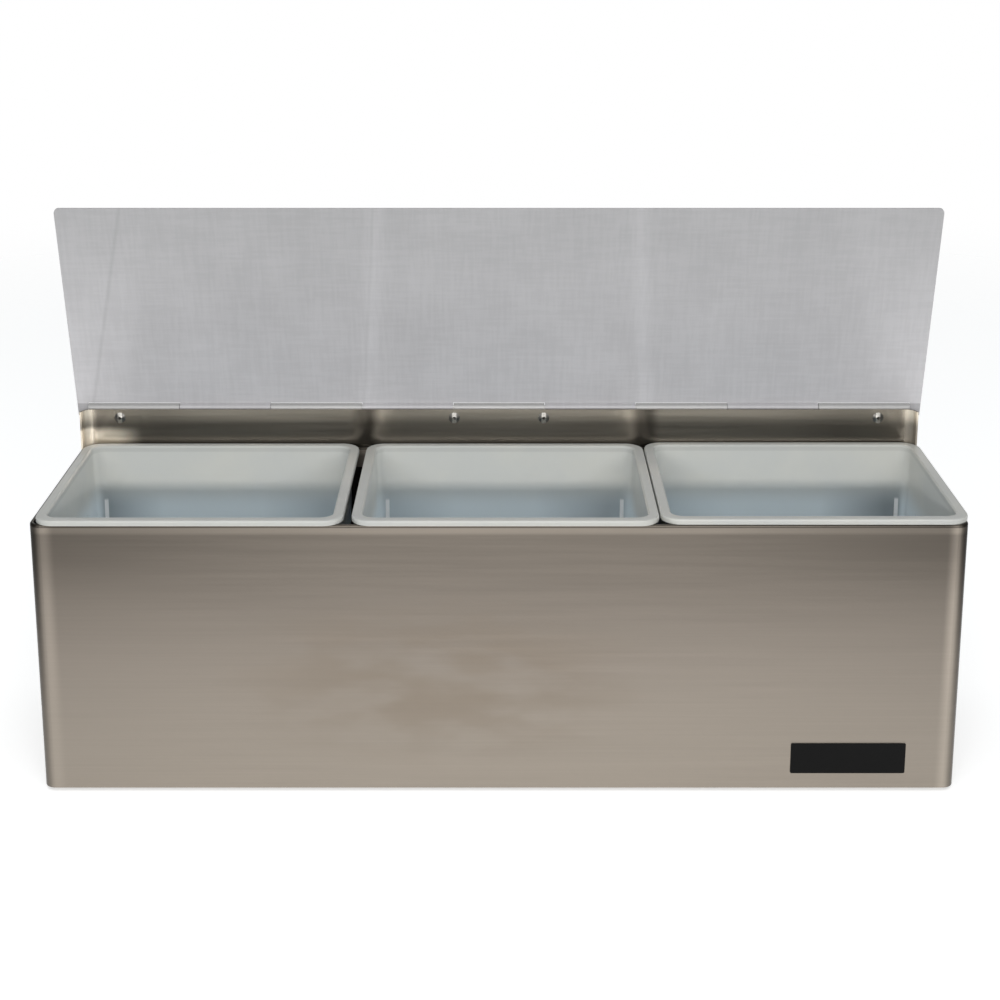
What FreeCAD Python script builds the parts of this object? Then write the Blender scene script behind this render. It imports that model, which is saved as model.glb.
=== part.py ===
import FreeCAD, Part
import math
import os

from FreeCAD import Vector

os.makedirs("parts", exist_ok=True)

# Countertop garnish tray: a folded stainless box that holds three lift-out inserts over a well,
# with a flat lid on a continuous hinge behind the raised back panel.
# Millimetres. X runs along the front, +Y to the back, +Z up. The origin is on the surface that
# the tray stands on, under the middle of the whole outline.

# Housing
housing_width = 470.0
housing_depth = 122.6
wall_height = 144.0
back_rise = 21.6
sheet = 1.0
corner_radius = 6.0
hem_gap = 0.2
hem_drop = 12.0

# Base pan and feet
pan_flange = 14.0
pan_bend = 2.0
foot_height = 2.0
foot_width = 13.0
foot_draft = 1.2
foot_inset_x = 28.0
foot_inset_y = 22.0

# Rear ledge
ledge_reach = 3.4
ledge_drop = 12.0
ledge_sheet = 1.0
ledge_end_gap = 4.0
ledge_bend = 1.5

# Lid
lid_overhang = 3.0
lid_sheet = 1.0
lid_corner_radius = 3.0
lid_lean = 13.6
ear_drop = 6.0
ear_width = 6.0
ear_gap = 0.5

# Continuous hinge
knuckle_pitch = 51.0
pin_radius = 1.0
pin_clearance = 0.05
leaf_sheet = 1.2
leaf_drop = 13.0
leaf_corner_radius = 2.0
knuckle_gap = 0.3
notch_gap = 0.2
pin_set_back = 0.5
axis_above_top = 0.5
curl_turn = 292.0

# Rivets that hold the hinge leaf
rivet_from_hinge_end = 18.0
rivet_inner_x = 25.2
rivet_below_top = 4.9
rivet_shank_radius = 1.6
rivet_hole_clearance = 0.05
rivet_head_radius = 3.1
rivet_head_height = 1.1
rivet_bore_radius = 0.95
rivet_bore_depth = 1.6
rivet_tail_radius = 2.1
rivet_tail_length = 1.9

# Inserts
insert_count = 3
insert_play_x = 6.5
insert_play_y = 2.5
rim_overhang = 3.9
rim_thickness = 2.8
rim_corner_radius = 10.0
rim_edge_radius = 0.9
mouth_bevel = 0.8
insert_drop = 92.0
insert_wall = 1.5
insert_floor = 1.8
insert_corner_radius = 8.0
insert_draft = 1.5
insert_foot_bevel = 3.0
rib_width = 1.6
rib_start = 30.0
rib_reach = 2.2
rib_from_rim_end_x = 11.2
rib_from_rim_end_y = 31.0
left_end_gap = 2.5
right_pair_gap = 0.7
right_end_overhang = 0.65
left_pair_back_gap = 3.0
right_back_gap = 1.0

# Badge
badge_width = 58.9
badge_height = 16.7
badge_thickness = 0.5
badge_corner_radius = 0.8
badge_from_end = 55.7
badge_above_bottom = 16.8

# Every cut runs on by this much, and edges are matched this closely
overrun = 5.0
match = 0.01

# Places worked out from the sizes above
half_width = housing_width / 2
lid_width = housing_width + 2 * lid_overhang
lid_reach = housing_depth
lean = math.radians(lid_lean)
hinge_length = lid_width - 2 * (ear_width + ear_gap)
rivet_outer_x = hinge_length / 2 - rivet_from_hinge_end
rim_width_x = (housing_width - insert_play_x) / insert_count
rim_depth_y = housing_depth - insert_play_y
insert_left_x = left_end_gap + rim_width_x / 2 - half_width
insert_right_x = half_width + right_end_overhang - rim_width_x / 2
insert_centre_x = insert_right_x - rim_width_x - right_pair_gap
rib_from_middle_x = rim_width_x / 2 - rib_from_rim_end_x
rib_from_middle_y = rim_depth_y / 2 - rib_from_rim_end_y
badge_x = half_width - badge_from_end
knuckle_bore = pin_radius + pin_clearance
lid_curl = knuckle_bore + lid_sheet
leaf_curl = knuckle_bore + leaf_sheet
rear_reach = leaf_curl + lid_curl * math.cos(lean) + ear_drop * math.sin(lean)
front_reach = rim_depth_y + left_pair_back_gap + sheet - housing_depth
outline_depth = front_reach + housing_depth + rear_reach
front_face = front_reach - outline_depth / 2
back_face = front_face + housing_depth
seam_y = back_face - corner_radius
bottom = foot_height
wall_top = bottom + wall_height
back_top = wall_top + back_rise
hem_thickness = 2 * sheet + hem_gap
axis_y = back_face + leaf_curl
axis_z = back_top + axis_above_top
rim_top = wall_top + rim_thickness


def export(name, solid):
    """Writes one node."""
    solid.exportStep("parts/" + name + ".step")


def face_from(points):
    """A flat face from corner points joined by straight edges."""
    return Part.Face(Part.makePolygon(points + points[:1]))


def arc_edge(centre, radius, start_degrees, middle_degrees, end_degrees, place):
    """A circular arc through three angles; place turns flat (across, up) values into a point."""
    stations = []
    for degrees in (start_degrees, middle_degrees, end_degrees):
        angle = math.radians(degrees)
        across = centre[0] + radius * math.cos(angle)
        up = centre[1] + radius * math.sin(angle)
        stations.append(place(across, up))
    return Part.Arc(*stations).toShape()


def line_edge(start, end):
    """A straight edge."""
    return Part.LineSegment(start, end).toShape()


def rounded_outline(width, depth, radius, centre_x, centre_y, z):
    """A closed wire round a rectangle with rounded corners, in a level plane."""
    half_x = width / 2 - radius
    half_y = depth / 2 - radius
    corners = ((1, 1, 0), (-1, 1, 90), (-1, -1, 180), (1, -1, 270))
    arcs = []
    for side_x, side_y, start in corners:
        centre = (centre_x + side_x * half_x, centre_y + side_y * half_y)
        arcs.append(
            arc_edge(centre, radius, start, start + 45, start + 90, lambda a, b: Vector(a, b, z))
        )
    edges = []
    for index, arc in enumerate(arcs):
        following = arcs[(index + 1) % len(arcs)]
        edges.append(arc)
        edges.append(line_edge(arc.lastVertex().Point, following.firstVertex().Point))
    return Part.Wire(edges)


def level_edges(solid, z):
    """The edges that lie wholly at one height."""
    found = []
    for edge in solid.Edges:
        box = edge.BoundBox
        if abs(box.ZMin - z) < match and abs(box.ZMax - z) < match:
            found.append(edge)
    return found


def end_corners(blank, z):
    """The short edges through the sheet at one end of a strip."""
    found = []
    for edge in level_edges(blank, z):
        if edge.BoundBox.XLength < match:
            found.append(edge)
    return found


def front_wrap():
    """The front and both sides: one folded section carried round the two front corners."""
    fold = hem_thickness / 2
    start_x = -half_width

    def place(across, up):
        return Vector(start_x + across, seam_y, up)

    crown = wall_top - fold
    hem_foot = wall_top - hem_drop
    inner_ply = sheet + hem_gap
    section = [
        line_edge(place(0, bottom), place(0, crown)),
        arc_edge((fold, crown), fold, 180, 90, 0, place),
        line_edge(place(hem_thickness, crown), place(hem_thickness, hem_foot)),
        line_edge(place(hem_thickness, hem_foot), place(inner_ply, hem_foot)),
        line_edge(place(inner_ply, hem_foot), place(inner_ply, crown)),
        line_edge(place(inner_ply, crown), place(sheet, crown)),
        line_edge(place(sheet, crown), place(sheet, bottom)),
        line_edge(place(sheet, bottom), place(0, bottom)),
    ]

    def at_bottom(across, along):
        return Vector(across, along, bottom)

    bend_x = half_width - corner_radius
    bend_y = front_face + corner_radius
    path = [
        line_edge(at_bottom(-half_width, seam_y), at_bottom(-half_width, bend_y)),
        arc_edge((-bend_x, bend_y), corner_radius, 180, 225, 270, at_bottom),
        line_edge(at_bottom(-bend_x, front_face), at_bottom(bend_x, front_face)),
        arc_edge((bend_x, bend_y), corner_radius, 270, 315, 360, at_bottom),
        line_edge(at_bottom(half_width, bend_y), at_bottom(half_width, seam_y)),
    ]
    return Part.Wire(path).makePipeShell([Part.Wire(section)], True, False)


def back_panel():
    """The raised back: a sheet bent forward at both ends, drilled for the rivets."""
    inner_radius = corner_radius - sheet
    bend_x = half_width - corner_radius
    inner_face = back_face - sheet

    def at_bottom(across, along):
        return Vector(across, along, bottom)

    outline = [
        arc_edge((bend_x, seam_y), corner_radius, 0, 45, 90, at_bottom),
        line_edge(at_bottom(bend_x, back_face), at_bottom(-bend_x, back_face)),
        arc_edge((-bend_x, seam_y), corner_radius, 90, 135, 180, at_bottom),
        line_edge(at_bottom(-half_width, seam_y), at_bottom(sheet - half_width, seam_y)),
        arc_edge((-bend_x, seam_y), inner_radius, 180, 135, 90, at_bottom),
        line_edge(at_bottom(-bend_x, inner_face), at_bottom(bend_x, inner_face)),
        arc_edge((bend_x, seam_y), inner_radius, 90, 45, 0, at_bottom),
        line_edge(at_bottom(half_width - sheet, seam_y), at_bottom(half_width, seam_y)),
    ]
    panel = Part.Face(Part.Wire(outline)).extrude(Vector(0, 0, back_top - bottom))
    return panel.cut(rivet_holes())


def rivet_places():
    """The rivets' places along the hinge."""
    return (-rivet_outer_x, -rivet_inner_x, rivet_inner_x, rivet_outer_x)


def rivet_holes():
    """Clearance holes through the back panel and the leaf behind it."""
    holes = []
    start = back_face - sheet - overrun
    length = sheet + leaf_sheet + 2 * overrun
    for x in rivet_places():
        centre = Vector(x, start, back_top - rivet_below_top)
        radius = rivet_shank_radius + rivet_hole_clearance
        holes.append(Part.makeCylinder(radius, length, centre, Vector(0, 1, 0)))
    return Part.makeCompound(holes)


def folded_edge(length):
    """One edge of the pan folded up along X: its outer face is on y = 0 and its floor side at +Y."""

    def place(inward, up):
        return Vector(-length / 2, inward, up)

    inner_bend = pan_bend - sheet
    section = [
        arc_edge((pan_bend, pan_bend), pan_bend, 270, 225, 180, place),
        line_edge(place(0, pan_bend), place(0, pan_flange)),
        line_edge(place(0, pan_flange), place(sheet, pan_flange)),
        line_edge(place(sheet, pan_flange), place(sheet, pan_bend)),
        arc_edge((pan_bend, pan_bend), inner_bend, 180, 225, 270, place),
        line_edge(place(pan_bend, sheet), place(pan_bend, 0)),
    ]
    return Part.Face(Part.Wire(section)).extrude(Vector(length, 0, 0))


def base_pan():
    """The floor of the well: a sheet with its edges folded up against the walls, open at its corners."""
    middle = Vector(0, front_face + housing_depth / 2, bottom)
    reach_x = half_width - sheet
    reach_y = housing_depth / 2 - sheet
    half_x = reach_x - pan_bend
    half_y = reach_y - pan_bend
    pan = Part.makeBox(2 * half_x, 2 * half_y, sheet, Vector(-half_x, -half_y, 0))
    flat_x = housing_width - 2 * corner_radius
    flat_y = housing_depth - 2 * corner_radius
    edges = []
    for turn, length, reach in ((0, flat_x, reach_y), (90, flat_y, reach_x)):
        for opposite in (0, 180):
            edge = folded_edge(length)
            edge.translate(Vector(0, -reach, 0))
            edge.rotate(Vector(0, 0, 0), Vector(0, 0, 1), turn + opposite)
            edges.append(edge)
    pan = pan.fuse(edges).removeSplitter()
    pan.translate(middle)
    return pan


def rear_ledge():
    """An angle along the back panel: its level leg carries the back rims of the inserts."""
    rear = back_face - sheet
    front = rear - ledge_reach
    foot = wall_top - ledge_drop
    length = housing_width - 2 * (corner_radius + ledge_end_gap)
    start = -length / 2

    def place(along, up):
        return Vector(start, along, up)

    heel = rear - ledge_bend
    inner_bend = ledge_bend - ledge_sheet
    under = wall_top - ledge_sheet
    inner_leg = rear - ledge_sheet
    section = [
        line_edge(place(rear, foot), place(rear, wall_top - ledge_bend)),
        arc_edge((heel, wall_top - ledge_bend), ledge_bend, 0, 45, 90, place),
        line_edge(place(heel, wall_top), place(front, wall_top)),
        line_edge(place(front, wall_top), place(front, under)),
        line_edge(place(front, under), place(heel, under)),
        arc_edge((heel, wall_top - ledge_bend), inner_bend, 90, 45, 0, place),
        line_edge(place(inner_leg, wall_top - ledge_bend), place(inner_leg, foot)),
        line_edge(place(inner_leg, foot), place(rear, foot)),
    ]
    return Part.Face(Part.Wire(section)).extrude(Vector(length, 0, 0))


def tapered_prism(half_width_at, half_depth, low, high, turn):
    """A prism whose trapezoid spans half_width_at(z) from low to high, turned about Z."""
    corners = []
    for side, z in ((-1, low), (1, low), (1, high), (-1, high)):
        corners.append(Vector(side * half_width_at(z), -half_depth, z))
    prism = face_from(corners).extrude(Vector(0, 2 * half_depth, 0))
    prism.rotate(Vector(0, 0, 0), Vector(0, 0, 1), turn)
    return prism


def tapered_block(width, depth, low, high, spread_at):
    """A block with flat sloping sides: spread_at(z) is added to both half widths at each height."""
    along = tapered_prism(lambda z: width / 2 + spread_at(z), depth, low, high, 0)
    across = tapered_prism(lambda z: depth / 2 + spread_at(z), width, low, high, 90)
    return along.common(across)


def foot(x, y):
    """A low square stick-on rubber foot that narrows to its sole."""
    fall = foot_draft / foot_height
    solid = tapered_block(foot_width, foot_width, 0, foot_height, lambda z: (z - foot_height) * fall)
    solid.translate(Vector(x, y, 0))
    return solid


def feet():
    """The four feet under the pan by name."""
    reach_x = half_width - foot_inset_x
    places = {"left": -reach_x, "right": reach_x}
    rows = {"front": front_face + foot_inset_y, "back": back_face - foot_inset_y}
    made = {}
    for row, y in rows.items():
        for side, x in places.items():
            made["foot_" + row + "_" + side] = foot(x, y)
    return made


def knuckle_spans():
    """The knuckles along the pin as (start, end, belongs to the leaf), the leaf's at both ends."""
    count = 2 * int(hinge_length / knuckle_pitch / 2) + 1
    pitch = hinge_length / count
    spans = []
    for index in range(count):
        start = index * pitch - hinge_length / 2
        spans.append((start, start + pitch, index % 2 == 0))
    return spans


def curl(thickness, plate_side, start, end):
    """One rolled knuckle about the axis at zero: a strip of sheet wound round the pin.

    plate_side is 1 where the plate leaves the curl upwards behind the pin and -1 where it
    leaves it downwards in front of the pin.
    """
    outer = knuckle_bore + thickness
    first = 0 if plate_side > 0 else 180
    last = first - curl_turn
    middle = first - curl_turn / 2

    def place(across, up):
        return Vector(start, across, up)

    outer_arc = arc_edge((0, 0), outer, first, middle, last, place)
    inner_arc = arc_edge((0, 0), knuckle_bore, last, middle, first, place)
    edges = [
        outer_arc,
        line_edge(outer_arc.lastVertex().Point, inner_arc.firstVertex().Point),
        inner_arc,
        line_edge(inner_arc.lastVertex().Point, outer_arc.firstVertex().Point),
    ]
    return Part.Face(Part.Wire(edges)).extrude(Vector(end - start, 0, 0))


def plate(thickness, side, x_low, x_high, z_low, z_high):
    """A flat strip whose inner face touches the pin bore's line, behind (1) or before (-1) it."""
    y_low = knuckle_bore if side > 0 else -knuckle_bore - thickness
    return Part.makeBox(x_high - x_low, thickness, z_high - z_low, Vector(x_low, y_low, z_low))


def notch_start(other_curl):
    """Where a sheet's notch ends, measured from the axis, so that it clears the other knuckles."""
    return math.sqrt((other_curl + notch_gap) ** 2 - knuckle_bore ** 2)


def lid_panel():
    """The lid: a flat sheet with rolled knuckles, an ear past each end of the hinge."""
    half_lid = lid_width / 2
    ear_inner = hinge_length / 2 + ear_gap
    notch_top = notch_start(leaf_curl)
    blank = plate(lid_sheet, 1, -half_lid, half_lid, notch_top, lid_reach)
    blank = blank.makeFillet(lid_corner_radius, end_corners(blank, lid_reach))
    pieces = []
    for side in (-1, 1):
        low = min(side * ear_inner, side * half_lid)
        high = max(side * ear_inner, side * half_lid)
        pieces.append(plate(lid_sheet, 1, low, high, -ear_drop, notch_top))
    for start, end, on_leaf in knuckle_spans():
        if on_leaf:
            continue
        low = start + knuckle_gap / 2
        high = end - knuckle_gap / 2
        pieces.append(plate(lid_sheet, 1, low, high, 0, notch_top))
        pieces.append(curl(lid_sheet, 1, low, high))
    solid = blank.fuse(pieces).removeSplitter()
    solid.rotate(Vector(0, 0, 0), Vector(1, 0, 0), lid_lean)
    solid.translate(Vector(0, axis_y, axis_z))
    return solid


def hinge_leaf():
    """The fixed leaf behind the back panel, with its knuckles and rivet holes."""
    half_leaf = hinge_length / 2
    strip_top = -notch_start(lid_curl)
    blank = plate(leaf_sheet, -1, -half_leaf, half_leaf, -leaf_drop, strip_top)
    blank = blank.makeFillet(leaf_corner_radius, end_corners(blank, -leaf_drop))
    pieces = []
    for start, end, on_leaf in knuckle_spans():
        if not on_leaf:
            continue
        low = max(start + knuckle_gap / 2, -half_leaf)
        high = min(end - knuckle_gap / 2, half_leaf)
        pieces.append(plate(leaf_sheet, -1, low, high, strip_top, 0))
        pieces.append(curl(leaf_sheet, -1, low, high))
    solid = blank.fuse(pieces).removeSplitter()
    solid.translate(Vector(0, axis_y, axis_z))
    return solid.cut(rivet_holes())


def hinge_pin():
    """The wire through all the knuckles, set back a little from both ends."""
    length = hinge_length - 2 * pin_set_back
    start = Vector(-length / 2, axis_y, axis_z)
    return Part.makeCylinder(pin_radius, length, start, Vector(1, 0, 0))


def rivet(x):
    """A set blind rivet: low coned head with the mandrel's bore, shank and flattened tail."""
    head_seat = back_face - sheet
    tail_seat = back_face + leaf_sheet
    z = back_top - rivet_below_top

    def place(across, along):
        return Vector(x + across, along, z)

    head_top = head_seat - rivet_head_height
    section = [
        place(0, head_top + rivet_bore_depth),
        place(rivet_bore_radius, head_top + rivet_bore_depth),
        place(rivet_bore_radius, head_top),
        place(rivet_head_radius, head_seat),
        place(rivet_shank_radius, head_seat),
        place(rivet_shank_radius, tail_seat),
        place(rivet_tail_radius, tail_seat),
        place(rivet_tail_radius, tail_seat + rivet_tail_length),
        place(0, tail_seat + rivet_tail_length),
    ]
    return face_from(section).revolve(place(0, 0), Vector(0, 1, 0), 360)


def drafted_block(width, depth, radius, centre, low, high):
    """A block with rounded corners that narrows downwards by the inserts' draft.

    width and depth are measured at the rim's top, and centre is the middle in plan.
    """
    slope = math.tan(math.radians(insert_draft))
    block = tapered_block(width, depth, low, high, lambda z: (z - rim_top) * slope)
    upright = [edge for edge in block.Edges if edge.BoundBox.ZLength > match]
    block = block.makeFillet(radius, upright)
    block.translate(centre)
    return block


def spread_block(width, depth, radius, centre, low, height):
    """A block with rounded corners that widens upwards at 45 degrees all round."""
    outlines = []
    for rise in (0, height):
        outlines.append(
            rounded_outline(
                width + 2 * rise, depth + 2 * rise, radius + rise, centre.x, centre.y, low + rise
            )
        )
    return Part.makeLoft(outlines, True, True)


def insert(centre_x, back_gap):
    """One insert: a drafted shell with a solid rim, bevelled foot and stacking ribs inside."""
    centre = Vector(centre_x, back_face - sheet - back_gap - rim_depth_y / 2, 0)
    body_x = rim_width_x - 2 * rim_overhang
    body_y = rim_depth_y - 2 * rim_overhang
    low = rim_top - insert_drop
    body = drafted_block(body_x, body_y, insert_corner_radius, centre, low, rim_top - rim_edge_radius)
    foot_inset = insert_drop * math.tan(math.radians(insert_draft)) + insert_foot_bevel
    foot_taper = spread_block(
        body_x - 2 * foot_inset,
        body_y - 2 * foot_inset,
        insert_corner_radius - insert_foot_bevel,
        centre,
        low,
        insert_drop,
    )
    body = body.common(foot_taper)
    inner_x = body_x - 2 * insert_wall
    inner_y = body_y - 2 * insert_wall
    inner_radius = insert_corner_radius - insert_wall
    floor = low + insert_floor
    hollow = drafted_block(inner_x, inner_y, inner_radius, centre, floor, rim_top + overrun)
    hollow = hollow.makeChamfer(insert_foot_bevel - insert_wall, level_edges(hollow, floor))
    mouth = spread_block(
        inner_x - 2 * mouth_bevel,
        inner_y - 2 * mouth_bevel,
        inner_radius - mouth_bevel,
        centre,
        rim_top - 2 * mouth_bevel,
        3 * mouth_bevel,
    )
    shell = body.fuse(insert_rim(centre)).cut([hollow, mouth])
    return shell.fuse(insert_ribs(centre, inner_x, inner_y, floor)).removeSplitter()


def insert_rim(centre):
    """The solid rim, its upper edge eased in two steps along a quarter round."""
    outlines = [rim_outline(centre, 0, wall_top)]
    for degrees in (0, 45, 90):
        angle = math.radians(degrees)
        inset = rim_edge_radius * (1 - math.cos(angle))
        outlines.append(rim_outline(centre, inset, rim_top - rim_edge_radius * (1 - math.sin(angle))))
    return Part.makeLoft(outlines, True, True)


def rim_outline(centre, inset, z):
    """The rim's outline at one height, drawn in by an inset."""
    width = rim_width_x - 2 * inset
    depth = rim_depth_y - 2 * inset
    return rounded_outline(width, depth, rim_corner_radius - inset, centre.x, centre.y, z)


def insert_ribs(centre, inner_x, inner_y, floor):
    """Eight fins inside the walls that start as points and grow towards the floor."""
    top = rim_top - rib_start
    slope = math.tan(math.radians(insert_draft))
    root = insert_wall / 2
    ribs = []
    for side in (-1, 1):
        for hand in (-1, 1):
            wall_y = centre.y + side * inner_y / 2
            along_x = centre.x + hand * rib_from_middle_x
            ribs.append(fin(along_x, wall_y, 0, side, top, floor, slope, root))
            wall_x = centre.x + side * inner_x / 2
            along_y = centre.y + hand * rib_from_middle_y
            ribs.append(fin(wall_x, along_y, side, 0, top, floor, slope, root))
    return ribs


def fin(x, y, out_x, out_y, top, floor, slope, root):
    """One wedge standing on a drafted wall; out_x, out_y point out through the wall."""

    def place(inward, z):
        retreat = inward + (rim_top - z) * slope
        return Vector(x - out_x * retreat, y - out_y * retreat, z)

    wedge = face_from([place(0, top), place(rib_reach, floor), place(-root, floor), place(-root, top)])
    sideways = Vector(out_y, out_x, 0) * (rib_width / 2)
    wedge.translate(sideways * -1)
    return wedge.extrude(sideways * 2)


def badge():
    """A plain plate stuck on the front."""
    rear = front_face
    outline = rounded_outline(
        badge_width, badge_height, badge_corner_radius, badge_x, bottom + badge_above_bottom, 0
    )
    solid = Part.Face(outline).extrude(Vector(0, 0, badge_thickness))
    solid.rotate(Vector(0, 0, 0), Vector(1, 0, 0), 90)
    solid.translate(Vector(0, rear, 0))
    return solid


nodes = {
    "front_wrap": front_wrap(),
    "back_panel": back_panel(),
    "base_pan": base_pan(),
    "rear_ledge": rear_ledge(),
    "lid_panel": lid_panel(),
    "hinge_leaf": hinge_leaf(),
    "hinge_pin": hinge_pin(),
    "hinge_rivets": Part.makeCompound([rivet(x) for x in rivet_places()]),
    "insert_left": insert(insert_left_x, left_pair_back_gap),
    "insert_centre": insert(insert_centre_x, left_pair_back_gap),
    "insert_right": insert(insert_right_x, right_back_gap),
    "badge": badge(),
}
nodes.update(feet())

for name, solid in nodes.items():
    print(name, "solids", len(solid.Solids), "valid", solid.isValid(), "volume", round(solid.Volume, 1))
    export(name, solid)
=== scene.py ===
"""Looks of the countertop garnish tray: the finishes of its pieces, a plain studio and the camera."""

import logging
import math
from abc import ABC, abstractmethod
from dataclasses import dataclass, field
from enum import Enum
from typing import Any

import bpy
import numpy as np
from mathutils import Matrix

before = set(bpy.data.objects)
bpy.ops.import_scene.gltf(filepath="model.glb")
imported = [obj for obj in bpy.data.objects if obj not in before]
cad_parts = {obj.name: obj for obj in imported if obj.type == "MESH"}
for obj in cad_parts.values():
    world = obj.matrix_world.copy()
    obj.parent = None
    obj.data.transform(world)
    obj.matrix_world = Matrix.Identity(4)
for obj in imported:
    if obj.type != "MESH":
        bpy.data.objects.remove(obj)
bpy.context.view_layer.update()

log = logging.getLogger("garnish_tray")

Colour = tuple[float, float, float, float]
Pair = tuple[float, float]
Triple = tuple[float, float, float]
Node = bpy.types.Node
Tree = bpy.types.NodeTree

MM = 0.001


class Ray(Enum):
    """The kinds of rays that can be kept from seeing an object."""

    CAMERA = "visible_camera"
    DIFFUSE = "visible_diffuse"
    GLOSSY = "visible_glossy"
    TRANSMISSION = "visible_transmission"
    SCATTER = "visible_volume_scatter"
    SHADOW = "visible_shadow"


class Given(Enum):
    """What a surface tells its material: where it is and which way it faces."""

    PLACE = "Object"
    FACING = "Normal"


class Blend(Enum):
    """The ways in which two colours are put together."""

    OVER = "MIX"
    TIMES = "MULTIPLY"


# A range's inputs: the value, the low and high that it comes from, the low and high that it goes to.
SMOOTH = {"interpolation_type": "SMOOTHSTEP"}
# A mix's inputs 0, 6 and 7: the share of the colour on top, the colour underneath, the colour on top.
OVER = {"data_type": "RGBA", "blend_type": Blend.OVER}
TIMES = {"data_type": "RGBA", "blend_type": Blend.TIMES}
PRODUCT = {"operation": "MULTIPLY"}
# Most of an uneven field lies between these two values.
FIELD_LOW, FIELD_HIGH = 0.3, 0.7
# How strong each finer octave of an uneven field is against the one before.
FIELD_FINENESS = 0.55


def linear(hex_colour: str) -> Colour:
    """Turns an sRGB hex colour into linear values.

    Args:
        hex_colour: Six hex digits with a leading hash.

    Returns:
        Red, green, blue and an alpha of 1.
    """
    parts = [int(hex_colour[start : start + 2], 16) / 255 for start in (1, 3, 5)]
    values = [v / 12.92 if v <= 0.04045 else ((v + 0.055) / 1.055) ** 2.4 for v in parts]
    return values[0], values[1], values[2], 1.0


def grey(value: float) -> Colour:
    """A linear grey.

    Args:
        value: Its brightness.

    Returns:
        The colour.
    """
    return value, value, value, 1.0


def metres(sizes_mm: Pair) -> Pair:
    """Turns two sizes from millimetres to metres."""
    return sizes_mm[0] * MM, sizes_mm[1] * MM


def add_node(
    tree: Tree,
    kind: str,
    settings: dict[str, Any] | None = None,
    inputs: dict[str | int, Any] | None = None,
    stops: list[tuple[float, Colour]] | None = None,
) -> Node:
    """Adds one node with its settings and links.

    Args:
        tree: The node tree that gets the node.
        kind: Blender's name for the node's type.
        settings: Values of the node's attributes by name.
        inputs: What goes into the inputs, by name or number: a value, an output of another node,
            or another node, which stands for its first output in use.
        stops: Places from 0 to 1 with their colours, where the node has a colour ramp.

    Returns:
        The new node.
    """
    node = tree.nodes.new(kind)
    for name, value in (settings or {}).items():
        setattr(node, name, value.value if isinstance(value, Enum) else value)
    for target, source in (inputs or {}).items():
        if isinstance(source, Node):
            source = next(output for output in source.outputs if output.enabled)
        if isinstance(source, bpy.types.NodeSocket):
            tree.links.new(source, node.inputs[target])
        else:
            node.inputs[target].default_value = source
    for index, (place, colour) in enumerate(stops or []):
        elements = node.color_ramp.elements
        element = elements[index] if index < len(elements) else elements.new(place)
        element.position = place
        element.color = colour
    return node


def axes_of(tree: Tree, given: Given) -> Node:
    """Splits what the surface tells into its axes.

    Args:
        tree: The node tree.
        given: The place or the facing, both fixed to the piece.

    Returns:
        The node with the outputs X, Y and Z.
    """
    source = add_node(tree, "ShaderNodeTexCoord").outputs[given.value]
    return add_node(tree, "ShaderNodeSeparateXYZ", inputs={0: source})


def uneven(tree: Tree, cells_mm: Triple, detail: float = 3.0, lean_degrees: float = 0.0) -> Node:
    """An uneven field from 0 to 1, fixed to the piece, with cells of real sizes.

    Args:
        tree: The node tree that gets the pattern.
        cells_mm: Size of one cell along X, Y and Z.
        detail: Octaves of finer unevenness.
        lean_degrees: Turn about X that stands a leaning sheet upright before it is patterned.

    Returns:
        The node whose first output is the field.
    """
    place = add_node(tree, "ShaderNodeTexCoord").outputs[Given.PLACE.value]
    turn = (math.radians(lean_degrees), 0, 0)
    upright = add_node(tree, "ShaderNodeMapping", inputs={"Vector": place, "Rotation": turn})
    scale = tuple(1 / (cell * MM) for cell in cells_mm)
    scaled = add_node(tree, "ShaderNodeMapping", inputs={"Vector": upright, "Scale": scale})
    inputs = {"Vector": scaled, "Scale": 1.0, "Detail": detail, "Roughness": FIELD_FINENESS}
    return add_node(tree, "ShaderNodeTexNoise", inputs=inputs)


def mottle(tree: Tree, unevenness: Node, tones: Pair) -> Node:
    """A grey tone that follows an uneven field.

    Args:
        tree: The node tree.
        unevenness: The uneven field.
        tones: The tones where the field is low and where it is high.

    Returns:
        The node whose first output is the tone.
    """
    stops = [(FIELD_LOW, grey(tones[0])), (FIELD_HIGH, grey(tones[1]))]
    return add_node(tree, "ShaderNodeValToRGB", inputs={0: unevenness}, stops=stops)


def gloss(tree: Tree, unevenness: Node, roughness: float, spread: float) -> Node:
    """A roughness that follows an uneven field.

    Args:
        tree: The node tree.
        unevenness: The uneven field.
        roughness: The roughness in the middle.
        spread: How far it goes to either side.

    Returns:
        The node whose first output is the roughness.
    """
    low, high = roughness - spread, roughness + spread
    inputs = {0: unevenness, 1: FIELD_LOW, 2: FIELD_HIGH, 3: low, 4: high}
    return add_node(tree, "ShaderNodeMapRange", SMOOTH, inputs)


def beside(tree: Tree, axes: Node, place_mm: float, from_mm: float = 0.0, lean: float = 0.0) -> Node:
    """The distance from an upright or leaning line, measured along X.

    Args:
        tree: The node tree.
        axes: The place on the piece, one output each.
        place_mm: Where the line crosses the height from_mm.
        from_mm: That height.
        lean: How far the line moves along X for each unit of height.

    Returns:
        The node whose first output is the distance in metres.
    """
    start = (place_mm - lean * from_mm) * MM
    settings = {"operation": "MULTIPLY_ADD"}
    line = add_node(tree, "ShaderNodeMath", settings, {0: axes.outputs["Z"], 1: lean, 2: start})
    away = add_node(tree, "ShaderNodeMath", {"operation": "SUBTRACT"}, {0: axes.outputs["X"], 1: line})
    return add_node(tree, "ShaderNodeMath", {"operation": "ABSOLUTE"}, {0: away})


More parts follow.
